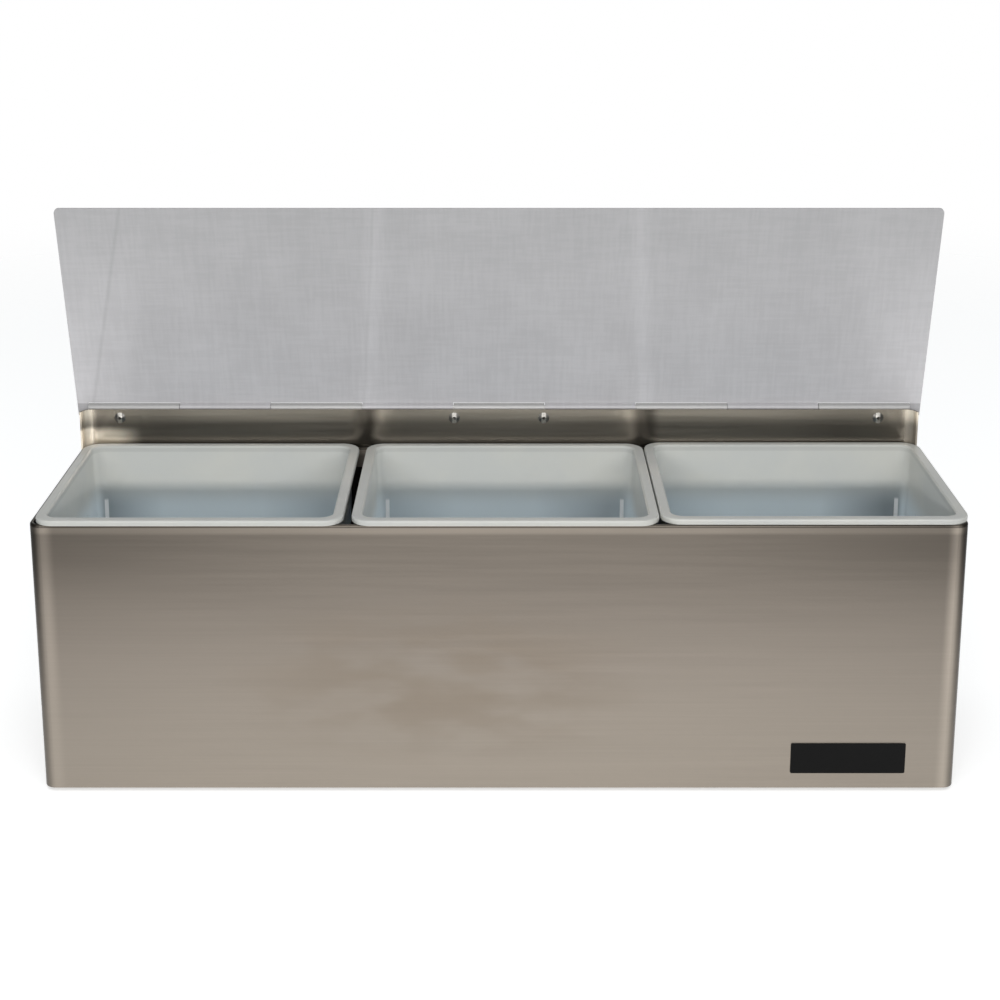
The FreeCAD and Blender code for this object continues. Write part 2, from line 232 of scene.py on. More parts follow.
def nearest(tree: Tree, axes: Node, places_mm: tuple[float, ...]) -> Node:
    """The distance along X from the nearest of some upright lines.

    Args:
        tree: The node tree.
        axes: The place on the piece, one output each.
        places_mm: Where the lines are.

    Returns:
        The node whose first output is the distance in metres.
    """
    distance = beside(tree, axes, places_mm[0])
    for place in places_mm[1:]:
        away = beside(tree, axes, place)
        distance = add_node(tree, "ShaderNodeMath", {"operation": "MINIMUM"}, {0: distance, 1: away})
    return distance


def empty_material(name: str) -> tuple[bpy.types.Material, Tree]:
    """Makes a material without nodes.

    Args:
        name: The material's name.

    Returns:
        The material and its node tree.
    """
    material = bpy.data.materials.new(name)
    material.use_nodes = True
    material.node_tree.nodes.clear()
    return material, material.node_tree


@dataclass(frozen=True)
class Finish(ABC):
    """What every finish has: the name of its material, and its surface."""

    name: str

    def material(self) -> bpy.types.Material:
        """Builds the material.

        Returns:
            The material, with the finish's surface.
        """
        material, tree = empty_material(self.name)
        shader = add_node(tree, "ShaderNodeBsdfPrincipled", inputs=self.surface(tree))
        add_node(tree, "ShaderNodeOutputMaterial", inputs={"Surface": shader})
        return material

    @abstractmethod
    def surface(self, tree: Tree) -> dict[str, Any]:
        """The shader's inputs by name, as values or nodes."""


@dataclass(frozen=True)
class BrushedSteel(Finish):
    """Stainless sheet, belt-brushed along the box.

    The belt leaves fine level lines that stretch reflections up and down. Wiping leaves a faint
    brown haze where hands hold the front. The tone up the wall is a painted reflection, light at
    the foot and dark at the top. Painted shade darkens the upper corners, the bends and the hem's
    crown, and painted highlights light the hem's edge and a line where each bend begins.
    """

    name: str = "belt-brushed stainless steel sheet"
    # Painted reflection: the tone runs from light at the foot to dark at the top, as the steel would
    # mirror a light floor low down and a darker room higher up.
    foot_hex: str = "#91897F"
    middle_hex: str = "#877F76"
    top_hex: str = "#726B63"
    # The hem's edge has a painted highlight. It ends the tone's run up the wall, and its stops are the
    # shares of that run where the wall's tone ends and the hem's begins.
    hem_highlight_hex: str = "#8A8278"
    hem_stops: Pair = (0.9885, 0.9925)
    run_top_mm: float = 150.0
    # Middle and half size of the hazy patch on the front, from the floor up.
    haze_hex: str = "#7C7164"
    haze_share: float = 0.55
    haze_middle_mm: Triple = (-30.0, -63.0, 62.0)
    haze_half_mm: Triple = (135.0, 40.0, 56.0)
    # Share of the half size that is fully hazed, the size of the clouds, and the values of their
    # field between which they go from clear to full.
    haze_core: float = 0.2
    haze_cloud_mm: Triple = (60.0, 60.0, 24.0)
    haze_cloud_range: Pair = (0.34, 0.62)
    # Painted shade in the upper corners: the tone left there, and how far from the middle and the floor it
    # starts and ends.
    corner_shade_tone: float = 0.74
    corner_from_mm: Pair = (60.0, 98.0)
    corner_to_mm: Pair = (235.0, 142.0)
    # Painted highlights beside the left and the right bend: places, tones low down and high up.
    edge_places_mm: Pair = (-227.4, 229.2)
    highlight_foot_tones: Pair = (1.12, 1.30)
    highlight_top_tones: Pair = (1.62, 2.10)
    edge_heights_mm: Pair = (20.0, 150.0)
    edge_half_mm: float = 5.5
    # Painted shade on each front bend: its tone, and where it starts and is full.
    bend_light_tone: float = 0.50
    bend_from_mm: Pair = (230.0, 233.4)
    # That tone fades out as the bend turns from the front, which faces negative Y, to the side.
    bend_facing: Pair = (-0.2, 0.0)
    # Painted shadow on the hem's crown, where the rims of the inserts rest near it: its tone, and the
    # heights where it starts and is full.
    crown_shadow_tone: float = 0.36
    crown_from_mm: Pair = (144.2, 144.7)
    roughness: float = 0.36
    rough_spread: float = 0.018
    anisotropy: float = 0.70
    # A quarter turn lays the wide side of the gloss across the level lines.
    anisotropy_turn: float = 0.25
    # Real 180-grit lines are under 0.1 mm wide. They are drawn 0.9 mm wide so that they show.
    line_width_mm: float = 0.9
    line_length_mm: float = 90.0
    line_tones: Pair = (0.977, 1.02)
    line_relief: float = 0.055
    line_depth_mm: float = 0.05
    # The gloss varies in streaks this many lines wide.
    streak_lines: int = 3

    def surface(self, tree: Tree) -> dict[str, Any]:
        """The painted run of tones up the wall under the lines, the painted light and the haze, with
        streaked gloss.

        Args:
            tree: The node tree.

        Returns:
            The shader's inputs.
        """
        axes = axes_of(tree, Given.PLACE)
        inputs = {0: axes.outputs["Z"], 1: 0.0, 2: self.run_top_mm * MM, 3: 0.0, 4: 1.0}
        level = add_node(tree, "ShaderNodeMapRange", SMOOTH, inputs)
        wall_end, hem_start = self.hem_stops
        stops = [(0.0, linear(self.foot_hex)), (0.5, linear(self.middle_hex))]
        stops += [(wall_end, linear(self.top_hex)), (hem_start, linear(self.hem_highlight_hex))]
        tone = add_node(tree, "ShaderNodeValToRGB", inputs={0: level}, stops=stops)
        length, width = self.line_length_mm, self.line_width_mm
        lines = uneven(tree, (length, length, width))
        shade = mottle(tree, lines, self.line_tones)
        tone = add_node(tree, "ShaderNodeMix", TIMES, {0: 1.0, 6: tone, 7: shade})
        tone = add_node(tree, "ShaderNodeMix", TIMES, {0: 1.0, 6: tone, 7: self.painted_light(tree, axes)})
        haze = self.haze(tree)
        tone = add_node(tree, "ShaderNodeMix", OVER, {0: haze, 6: tone, 7: linear(self.haze_hex)})
        streaks = uneven(tree, (length, length, self.streak_lines * width), 2.0)
        depth = self.line_depth_mm * MM
        relief = {"Height": lines, "Strength": self.line_relief, "Distance": depth}
        return {
            "Base Color": tone,
            "Metallic": self.bare(tree, axes),
            "Roughness": gloss(tree, streaks, self.roughness, self.rough_spread),
            "Anisotropic": self.anisotropy,
            "Anisotropic Rotation": self.anisotropy_turn,
            "Normal": add_node(tree, "ShaderNodeBump", inputs=relief),
        }

    def bare(self, tree: Tree, axes: Node) -> Node | float:
        """The share of bare metal: all of it."""
        return 1.0

    def painted_light(self, tree: Tree, axes: Node) -> Node:
        """The painted light: shaded upper corners, highlights beside the bends, shaded bends and crown.

        Args:
            tree: The node tree.
            axes: The place on the piece, one output each.

        Returns:
            The node whose first output is the tone.
        """
        (side_from, up_from), (side_to, up_to) = self.corner_from_mm, self.corner_to_mm
        aside = add_node(tree, "ShaderNodeMath", {"operation": "ABSOLUTE"}, {0: axes.outputs["X"]})
        inputs = {0: aside, 1: side_from * MM, 2: side_to * MM, 3: 0.0, 4: 1.0}
        out = add_node(tree, "ShaderNodeMapRange", SMOOTH, inputs)
        inputs = {0: axes.outputs["Z"], 1: up_from * MM, 2: up_to * MM, 3: 0.0, 4: 1.0}
        up = add_node(tree, "ShaderNodeMapRange", SMOOTH, inputs)
        share = add_node(tree, "ShaderNodeMath", PRODUCT, {0: out, 1: up})
        inputs = {0: share, 1: 0.0, 2: 1.0, 3: 1.0, 4: self.corner_shade_tone}
        tone = add_node(tree, "ShaderNodeMapRange", inputs=inputs)
        low, high = metres(self.edge_heights_mm)
        for side, foot, top in zip(self.edge_places_mm, self.highlight_foot_tones, self.highlight_top_tones):
            inputs = {0: axes.outputs["Z"], 1: low, 2: high, 3: foot, 4: top}
            bright = add_node(tree, "ShaderNodeMapRange", SMOOTH, inputs)
            inputs = {0: beside(tree, axes, side), 1: 0.0, 2: self.edge_half_mm * MM, 3: bright, 4: 1.0}
            edge = add_node(tree, "ShaderNodeMapRange", SMOOTH, inputs)
            tone = add_node(tree, "ShaderNodeMath", PRODUCT, {0: tone, 1: edge})
        start, full = metres(self.crown_from_mm)
        inputs = {0: axes.outputs["Z"], 1: start, 2: full, 3: 1.0, 4: self.crown_shadow_tone}
        dull = add_node(tree, "ShaderNodeMapRange", SMOOTH, inputs)
        tone = add_node(tree, "ShaderNodeMath", PRODUCT, {0: tone, 1: dull})
        facing = axes_of(tree, Given.FACING).outputs["Y"]
        front, turned = self.bend_facing
        inputs = {0: facing, 1: front, 2: turned, 3: self.bend_light_tone, 4: 1.0}
        full_tone = add_node(tree, "ShaderNodeMapRange", inputs=inputs)
        start, full = metres(self.bend_from_mm)
        inputs = {0: aside, 1: start, 2: full, 3: 1.0, 4: full_tone}
        bend = add_node(tree, "ShaderNodeMapRange", inputs=inputs)
        return add_node(tree, "ShaderNodeMath", PRODUCT, {0: tone, 1: bend})

    def haze(self, tree: Tree) -> Node:
        """The share of brown haze: clouds inside a soft oval on the front.

        Args:
            tree: The node tree.

        Returns:
            The node whose first output is the share.
        """
        place = add_node(tree, "ShaderNodeTexCoord").outputs[Given.PLACE.value]
        middle = tuple(v * MM for v in self.haze_middle_mm)
        half = tuple(v * MM for v in self.haze_half_mm)
        away = add_node(tree, "ShaderNodeVectorMath", {"operation": "SUBTRACT"}, {0: place, 1: middle})
        shares = add_node(tree, "ShaderNodeVectorMath", {"operation": "DIVIDE"}, {0: away, 1: half})
        reach = add_node(tree, "ShaderNodeVectorMath", {"operation": "LENGTH"}, {0: shares})
        inputs = {0: reach, 1: self.haze_core, 2: 1.0, 3: 1.0, 4: 0.0}
        oval = add_node(tree, "ShaderNodeMapRange", SMOOTH, inputs)
        low, high = self.haze_cloud_range
        inputs = {0: uneven(tree, self.haze_cloud_mm), 1: low, 2: high, 3: 0.0, 4: self.haze_share}
        clouds = add_node(tree, "ShaderNodeMapRange", SMOOTH, inputs)
        return add_node(tree, "ShaderNodeMath", PRODUCT, {0: oval, 1: clouds})


@dataclass(frozen=True)
class BackSteel(BrushedSteel):
    """The same sheet on the back panel, brushed finer.

    On the strip that stands above the inserts, painted shade darkens it low down and painted
    reflections of the gaps between the inserts darken it behind them, while painted light brightens
    it higher up and in the lower left corner. Its two bends carry a painted highlight.
    """

    name: str = "belt-brushed stainless steel back"
    # The painted highlight on the back's hem has its own tone.
    hem_highlight_hex: str = "#857E73"
    roughness: float = 0.24
    # Painted shade low on the strip and painted light above it, going from one to the other between these
    # heights.
    strip_shade_tone: float = 0.52
    strip_light_tone: float = 1.54
    strip_shade_heights_mm: Pair = (158.0, 166.0)
    # Painted reflections of the dark gaps between the inserts: places, tone and reach.
    gap_places_mm: Pair = (-75.0, 82.0)
    gap_reflection_tone: float = 0.36
    gap_reach_mm: Pair = (2.0, 10.0)
    # Painted highlight on the two bends.
    bend_light_tone: float = 2.6
    bend_from_mm: Pair = (225.5, 231.0)
    # Painted light in the lower left corner: how much lighter it is, and where it starts and is full.
    corner_light_tone: float = 6.0
    corner_light_from_mm: Pair = (-200.0, 158.6)
    corner_light_full_mm: Pair = (-217.0, 153.0)
    # No tone lifts the sheet's colour above that of clean bright steel.
    highest_tone: float = 4.2
    # Less bare metal in the two bends paints a highlight there.
    bend_highlight_share: float = 0.52
    bend_highlight_from_mm: Pair = (227.5, 230.0)
    # Place times normal, which is negative on the inner face and positive on the outer one.
    inner_range: Pair = (-0.03, -0.01)

    def inside(self, tree: Tree) -> Node:
        """One on the inner face and zero on the outer one.

        Args:
            tree: The node tree.

        Returns:
            The node whose first output is the share.
        """
        given = add_node(tree, "ShaderNodeTexCoord")
        pair = {0: given.outputs[Given.PLACE.value], 1: given.outputs[Given.FACING.value]}
        outward = add_node(tree, "ShaderNodeVectorMath", {"operation": "DOT_PRODUCT"}, pair)
        inner, outer = self.inner_range
        inputs = {0: outward, 1: inner, 2: outer, 3: 1.0, 4: 0.0}
        return add_node(tree, "ShaderNodeMapRange", inputs=inputs)

    def bare(self, tree: Tree, axes: Node) -> Node:
        """The share of bare metal: less in the two bends, which paints a highlight there.

        Args:
            tree: The node tree.
            axes: The place on the piece, one output each.

        Returns:
            The node whose first output is the share.
        """
        near, far = metres(self.bend_highlight_from_mm)
        inputs = {0: beside(tree, axes, 0.0), 1: near, 2: far, 3: 0.0, 4: self.bend_highlight_share}
        lit_bend = add_node(tree, "ShaderNodeMapRange", SMOOTH, inputs)
        pair = {0: lit_bend, 1: self.inside(tree)}
        lit_bend = add_node(tree, "ShaderNodeMath", PRODUCT, pair)
        return add_node(tree, "ShaderNodeMath", {"operation": "SUBTRACT"}, {0: 1.0, 1: lit_bend})

    def painted_light(self, tree: Tree, axes: Node) -> Node:
        """The painted light and shade on the strip above the inserts, on the inner face alone.

        Args:
            tree: The node tree.
            axes: The place on the piece, one output each.

        Returns:
            The node whose first output is the tone.
        """
        low, high = metres(self.strip_shade_heights_mm)
        inputs = {0: axes.outputs["Z"], 1: low, 2: high, 3: self.strip_shade_tone, 4: self.strip_light_tone}
        tone = add_node(tree, "ShaderNodeMapRange", SMOOTH, inputs)
        near, far = metres(self.gap_reach_mm)
        for place in self.gap_places_mm:
            inputs = {0: beside(tree, axes, place), 1: near, 2: far, 3: self.gap_reflection_tone, 4: 1.0}
            gap = add_node(tree, "ShaderNodeMapRange", SMOOTH, inputs)
            tone = add_node(tree, "ShaderNodeMath", PRODUCT, {0: tone, 1: gap})
        near, far = metres(self.bend_from_mm)
        inputs = {0: beside(tree, axes, 0.0), 1: near, 2: far, 3: 1.0, 4: self.bend_light_tone}
        bend = add_node(tree, "ShaderNodeMapRange", SMOOTH, inputs)
        tone = add_node(tree, "ShaderNodeMath", PRODUCT, {0: tone, 1: bend})
        share: Node | float = 1.0
        for axis, start, full in zip(("X", "Z"), self.corner_light_from_mm, self.corner_light_full_mm):
            inputs = {0: axes.outputs[axis], 1: full * MM, 2: start * MM, 3: 1.0, 4: 0.0}
            reach = add_node(tree, "ShaderNodeMapRange", SMOOTH, inputs)
            share = add_node(tree, "ShaderNodeMath", PRODUCT, {0: share, 1: reach})
        inputs = {0: share, 1: 0.0, 2: 1.0, 3: 1.0, 4: self.corner_light_tone}
        rub = add_node(tree, "ShaderNodeMapRange", inputs=inputs)
        tone = add_node(tree, "ShaderNodeMath", PRODUCT, {0: tone, 1: rub})
        settings = {"operation": "MINIMUM"}
        tone = add_node(tree, "ShaderNodeMath", settings, {0: tone, 1: self.highest_tone})
        colours = {0: self.inside(tree), 6: grey(1.0), 7: tone}
        return add_node(tree, "ShaderNodeMix", OVER, colours)


@dataclass(frozen=True)
class Band:
    """A leaning band: its place at the hinge, lean for each unit of height, tone and half width."""

    place_mm: float
    lean: float
    tone: float
    half_mm: float


@dataclass(frozen=True)
class LinenSteel(Finish):
    """Stainless sheet rolled with a fine linen texture.

    The crossed threads scatter reflections, so the lid looks even, cool and grey. Painted light makes
    it lighter low down, painted reflections trace three duller fields where it lies over the
    inserts, and painted shade darkens its rolled knuckles.
    """

    name: str = "linen-rolled stainless steel sheet"
    # Painted light: the lid is lighter low down, near the hinge, to make up for the shade that falls
    # there.
    low_hex: str = "#C8C6C8"
    top_hex: str = "#ABAAAB"
    # Heights between which the tone goes from the low one to the top one.
    tone_heights_mm: Pair = (172.0, 282.0)
    # Painted shade on the knuckles: its tone, and the heights where it ends and the sheet's own begins.
    knuckle_shade_tone: float = 0.70
    knuckle_ends_mm: Pair = (169.8, 170.2)
    # Painted reflections: lighter bands between the three fields, and thin dull lines of two rims' edges.
    reflection_bands: tuple[Band, ...] = (
        Band(-74.0, 0.075, 1.085, 8.0),
        Band(82.0, -0.06, 1.085, 8.0),
        Band(-228.3, 0.22, 0.90, 1.8),
        Band(-76.0, 0.075, 0.94, 1.6),
    )
    # The painted reflection's lighter margins round the three fields: where they start and are full
    # beside the fields, at the hinge, with the lean of that edge, and above them.
    margin_reflection_tone: float = 1.03
    margin_from_mm: Pair = (208.0, 216.0)
    margin_lean: float = 0.22
    margin_heights_mm: Pair = (273.0, 279.0)
    # The bands and margins are on the lid's inner face, which faces negative Y.
    inner_facing: Pair = (-0.3, -0.1)
    roughness: float = 0.42
    rough_spread: float = 0.02
    # A dry wiped film over the texture spreads most of the light evenly.
    metal_share: float = 0.18
    lean_degrees: float = 13.6
    # The real threads of the texture are about 0.6 mm apart. They are drawn 1.6 mm apart.
    thread_mm: float = 1.6
    thread_length_mm: float = 18.0
    thread_tones: Pair = (0.965, 1.03)
    thread_relief: float = 0.10
    thread_depth_mm: float = 0.06
    # Most of the sum of the threads' two fields lies between these values.
    weave_range: Pair = (0.75, 1.25)
    cloud_mm: float = 30.0
    cloud_tones: Pair = (0.96, 1.03)

    def surface(self, tree: Tree) -> dict[str, Any]:
        """The sheet's tone under its threads and clouds, with a cloudy gloss.

        Args:
            tree: The node tree.

        Returns:
            The shader's inputs.
        """
        wide, long = self.thread_mm, self.thread_length_mm
        warp = uneven(tree, (wide, long, long), 2.0, -self.lean_degrees)
        weft = uneven(tree, (long, long, wide), 2.0, -self.lean_degrees)
        weave = add_node(tree, "ShaderNodeMath", {"operation": "ADD"}, {0: warp, 1: weft})
        low, high = self.weave_range
        inputs = {0: weave, 1: low, 2: high, 3: 0.0, 4: 1.0}
        height = add_node(tree, "ShaderNodeMapRange", SMOOTH, inputs)
        low, high = (grey(value) for value in self.thread_tones)
        stops = [(0.0, low), (1.0, high)]
        threads = add_node(tree, "ShaderNodeValToRGB", inputs={0: height}, stops=stops)
        clouds = uneven(tree, (self.cloud_mm,) * 3, 4.0)
        tone = self.tone(tree)
        for shade in (threads, mottle(tree, clouds, self.cloud_tones)):
            tone = add_node(tree, "ShaderNodeMix", TIMES, {0: 1.0, 6: tone, 7: shade})
        depth = self.thread_depth_mm * MM
        relief = {"Height": weave, "Strength": self.thread_relief, "Distance": depth}
        return {
            "Base Color": tone,
            "Metallic": self.metal_share,
            "Roughness": gloss(tree, clouds, self.roughness, self.rough_spread),
            "Normal": add_node(tree, "ShaderNodeBump", inputs=relief),
        }

    def tone(self, tree: Tree) -> Node:
        """The sheet's tone with painted light: lighter low down, shaded knuckles, and reflections inside.

        Args:
            tree: The node tree.

        Returns:
            The node whose first output is the colour.
        """
        axes = axes_of(tree, Given.PLACE)
        height = axes.outputs["Z"]
        low, high = metres(self.tone_heights_mm)
        rise = add_node(tree, "ShaderNodeMapRange", inputs={0: height, 1: low, 2: high, 3: 0.0, 4: 1.0})
        stops = [(0.0, linear(self.low_hex)), (1.0, linear(self.top_hex))]
        sheet = add_node(tree, "ShaderNodeValToRGB", inputs={0: rise}, stops=stops)
        low, high = metres(self.knuckle_ends_mm)
        inputs = {0: height, 1: low, 2: high, 3: self.knuckle_shade_tone, 4: 1.0}
        knuckles = add_node(tree, "ShaderNodeMapRange", SMOOTH, inputs)
        tone = add_node(tree, "ShaderNodeMix", TIMES, {0: 1.0, 6: sheet, 7: knuckles})
        facing = axes_of(tree, Given.FACING).outputs["Y"]
        facing_in, facing_out = self.inner_facing
        inputs = {0: facing, 1: facing_in, 2: facing_out, 3: 1.0, 4: 0.0}
        inner = add_node(tree, "ShaderNodeMapRange", inputs=inputs)
        foot_mm = self.tone_heights_mm[0]
        for band in self.reflection_bands:
            reach = beside(tree, axes, band.place_mm, foot_mm, band.lean)
            inputs = {0: reach, 1: 0.0, 2: band.half_mm * MM, 3: band.tone, 4: 1.0}
            shade = add_node(tree, "ShaderNodeMapRange", SMOOTH, inputs)
            tone = add_node(tree, "ShaderNodeMix", TIMES, {0: inner, 6: tone, 7: shade})
        aside = add_node(tree, "ShaderNodeMath", {"operation": "ABSOLUTE"}, {0: axes.outputs["X"]})
        settings = {"operation": "MULTIPLY_ADD"}
        line = add_node(tree, "ShaderNodeMath", settings, {0: height, 1: self.margin_lean, 2: aside})
        start, full = ((value + self.margin_lean * foot_mm) * MM for value in self.margin_from_mm)
        inputs = {0: line, 1: start, 2: full, 3: 0.0, 4: 1.0}
        beyond = add_node(tree, "ShaderNodeMapRange", SMOOTH, inputs)
        start, full = metres(self.margin_heights_mm)
        inputs = {0: height, 1: start, 2: full, 3: 0.0, 4: 1.0}
        above = add_node(tree, "ShaderNodeMapRange", SMOOTH, inputs)
        share = add_node(tree, "ShaderNodeMath", {"operation": "MAXIMUM"}, {0: beyond, 1: above})
        share = add_node(tree, "ShaderNodeMath", PRODUCT, {0: share, 1: inner})
        margin = grey(self.margin_reflection_tone)
        return add_node(tree, "ShaderNodeMix", TIMES, {0: share, 6: tone, 7: margin})


@dataclass(frozen=True)
class PlainMetal(Finish):
    """Plain drawn or pressed metal: a light mill finish with slightly uneven gloss."""

    name: str
    base_hex: str
    roughness: float
    cell_mm: float = 2.0
    metal_share: float = 1.0
    mottle_tones: Pair = (0.93, 1.04)
    rough_spread: float = 0.05

    def surface(self, tree: Tree) -> dict[str, Any]:
        """A mottled mill finish with its painted light.

        Args:
            tree: The node tree.

        Returns:
            The shader's inputs.
        """
        mill = uneven(tree, (self.cell_mm,) * 3)
        tone = linear(self.base_hex)
        for shade in (mottle(tree, mill, self.mottle_tones), self.painted_light(tree)):
            tone = add_node(tree, "ShaderNodeMix", TIMES, {0: 1.0, 6: tone, 7: shade})
        rough = gloss(tree, mill, self.roughness, self.rough_spread)
        return {"Base Color": tone, "Metallic": self.metal_share, "Roughness": rough}

    def painted_light(self, tree: Tree) -> Node | Colour:
        """The painted light: none on plain metal."""
        return grey(1.0)


@dataclass(frozen=True)
class RivetMetal(PlainMetal):
    """Pressed aluminium, with painted shade in the bore and on the flange and a painted highlight up the
    middle.
    """

    name: str = "pressed aluminium rivet"
    base_hex: str = "#C6C3BC"
    roughness: float = 0.30
    cell_mm: float = 0.8
    places_mm: tuple[float, ...] = (-213.5, -25.2, 25.2, 213.5)
    height_mm: float = 162.7
    bore_shade_tone: float = 0.05
    bore_ends_mm: Pair = (0.85, 1.05)
    flange_shade_tone: float = 0.30
    stripe_highlight_ends_mm: Pair = (0.9, 1.5)

    def painted_light(self, tree: Tree) -> Node:
        """The painted light over one head: shade in the bore, a highlight up and down its middle, shade
        elsewhere.

        Args:
            tree: The node tree.

        Returns:
            The node whose first output is the tone.
        """
        axes = axes_of(tree, Given.PLACE)
        aside = nearest(tree, axes, self.places_mm)
        pair = {0: axes.outputs["Z"], 1: self.height_mm * MM}
        up = add_node(tree, "ShaderNodeMath", {"operation": "SUBTRACT"}, pair)
        spread = add_node(tree, "ShaderNodeCombineXYZ", inputs={0: aside, 2: up})
        radius = add_node(tree, "ShaderNodeVectorMath", {"operation": "LENGTH"}, {0: spread})
        low, high = metres(self.bore_ends_mm)
        inputs = {0: radius, 1: low, 2: high, 3: self.bore_shade_tone, 4: 1.0}
        bore = add_node(tree, "ShaderNodeMapRange", SMOOTH, inputs)
        low, high = metres(self.stripe_highlight_ends_mm)
        inputs = {0: aside, 1: low, 2: high, 3: 1.0, 4: self.flange_shade_tone}
        highlight = add_node(tree, "ShaderNodeMapRange", SMOOTH, inputs)
        return add_node(tree, "ShaderNodeMath", PRODUCT, {0: bore, 1: highlight})


@dataclass(frozen=True)
class Polypropylene(Finish):
    """Injection-moulded natural polypropylene: milky, lets a little light through, soft gloss."""

    name: str = "moulded natural polypropylene"
    base_hex: str = "#C8C8C2"
    shade_hex: str = "#C3C4C0"
    # Painted shade on the rims, which face up into the light. The heights are where it starts and is full.
    rim_shade_tone: float = 0.87
    rim_heights_mm: Pair = (145.0, 146.0)
    # Painted glints on the stacking ribs.
    rib_glint_hex: str = "#FAFAFA"
    rib_places_mm: tuple[float, ...] = (-221.3, -89.2, -62.85, 69.25, 92.35, 224.45)
    rib_ends_mm: Pair = (0.9, 1.2)
    rib_heights_mm: Pair = (116.6, 118.6)
    # Painted light: low in the inserts the colour is lighter and cooler, standing in for the cool light
    # there.
    deep_light_hex: str = "#DBE5EA"
    deep_heights_mm: Pair = (112.0, 130.0)
    # The box keeps the light from the low corners: places along each insert, with their tones.
    low_tones: tuple[tuple[Pair, ...], ...] = (
        ((-219.0, 0.53), (-190.0, 1.05), (-134.0, 1.05), (-98.0, 0.74)),
        ((-58.0, 0.79), (-25.0, 1.05), (20.0, 1.05), (61.0, 0.64)),
        ((101.0, 0.90), (128.0, 1.05), (182.0, 1.05), (218.0, 0.43)),
    )
    # Those tones fade out where a wall faces sideways, because the end walls have their own.
    low_facing: Pair = (0.3, 0.8)
    # Painted light makes the end walls lighter: left ends, right ends.
    end_light_tones: Pair = (1.22, 1.06)
    end_facing: Pair = (0.6, 0.9)
    roughness: float = 0.34
    rough_spread: float = 0.04
    ior: float = 1.49
    scatter_mm: float = 3.0
    scatter_share: float = 0.25
    scatter_reach: Triple = (1.0, 1.0, 1.1)
    # Size of the flow marks, and the values of their field between which the colour changes.
    flow_mm: float = 40.0
    flow_range: Pair = (0.35, 0.65)

    def surface(self, tree: Tree) -> dict[str, Any]:
        """Milky plastic with painted light: toned by height, by facing and along the inserts, with glints
        on the ribs.

        Args:
            tree: The node tree.

        Returns:
            The shader's inputs.
        """
        flow = uneven(tree, (self.flow_mm,) * 3)
        low, high = self.flow_range
        share = add_node(tree, "ShaderNodeMapRange", SMOOTH, {0: flow, 1: low, 2: high, 3: 0.0, 4: 1.0})
        colours = {0: share, 6: linear(self.base_hex), 7: linear(self.shade_hex)}
        tone = add_node(tree, "ShaderNodeMix", OVER, colours)
        axes = axes_of(tree, Given.PLACE)
        height = axes.outputs["Z"]
        low, high = metres(self.deep_heights_mm)
        deep = add_node(tree, "ShaderNodeMapRange", SMOOTH, {0: height, 1: low, 2: high, 3: 1.0, 4: 0.0})
        tone = add_node(tree, "ShaderNodeMix", OVER, {0: deep, 6: tone, 7: linear(self.deep_light_hex)})
        across = axes_of(tree, Given.FACING).outputs["X"]
        aside = add_node(tree, "ShaderNodeMath", {"operation": "ABSOLUTE"}, {0: across})
        low, high = self.low_facing
        share = add_node(tree, "ShaderNodeMapRange", SMOOTH, {0: aside, 1: low, 2: high, 3: deep, 4: 0.0})
        tone = add_node(tree, "ShaderNodeMix", TIMES, {0: share, 6: tone, 7: self.corners(tree, axes)})
        turn = add_node(tree, "ShaderNodeMapRange", inputs={0: across, 1: -1.0, 2: 1.0, 3: 0.0, 4: 1.0})
        left, right = (grey(value) for value in self.end_light_tones)
        start, full = (value / 2 for value in self.end_facing)
        stops = [(0.5 - full, right), (0.5 - start, grey(1.0))]
        stops += [(0.5 + start, grey(1.0)), (0.5 + full, left)]
        ends = add_node(tree, "ShaderNodeValToRGB", inputs={0: turn}, stops=stops)
        low, high = metres(self.rim_heights_mm)
        inputs = {0: height, 1: low, 2: high, 3: 1.0, 4: self.rim_shade_tone}
        rim = add_node(tree, "ShaderNodeMapRange", SMOOTH, inputs)
        for shade in (ends, rim):
            tone = add_node(tree, "ShaderNodeMix", TIMES, {0: 1.0, 6: tone, 7: shade})
        colours = {0: self.rib_glints(tree, axes), 6: tone, 7: linear(self.rib_glint_hex)}
        tone = add_node(tree, "ShaderNodeMix", OVER, colours)
        return {
            "Base Color": tone,
            "Roughness": gloss(tree, flow, self.roughness, self.rough_spread),
            "Subsurface Weight": self.scatter_share,
            "Subsurface Radius": self.scatter_reach,
            "Subsurface Scale": self.scatter_mm * MM,
            "IOR": self.ior,
        }

    def corners(self, tree: Tree, axes: Node) -> Node:
        """The tone low in the inserts, along the tray.

        Args:
            tree: The node tree.
            axes: The place on the piece, one output each.

        Returns:
            The node whose first output is the tone.
        """
        tones = [pair for insert in self.low_tones for pair in insert]
        first, last = tones[0][0], tones[-1][0]
        inputs = {0: axes.outputs["X"], 1: first * MM, 2: last * MM, 3: 0.0, 4: 1.0}
        along = add_node(tree, "ShaderNodeMapRange", inputs=inputs)
        stops = [((place - first) / (last - first), grey(tone)) for place, tone in tones]
        return add_node(tree, "ShaderNodeValToRGB", inputs={0: along}, stops=stops)

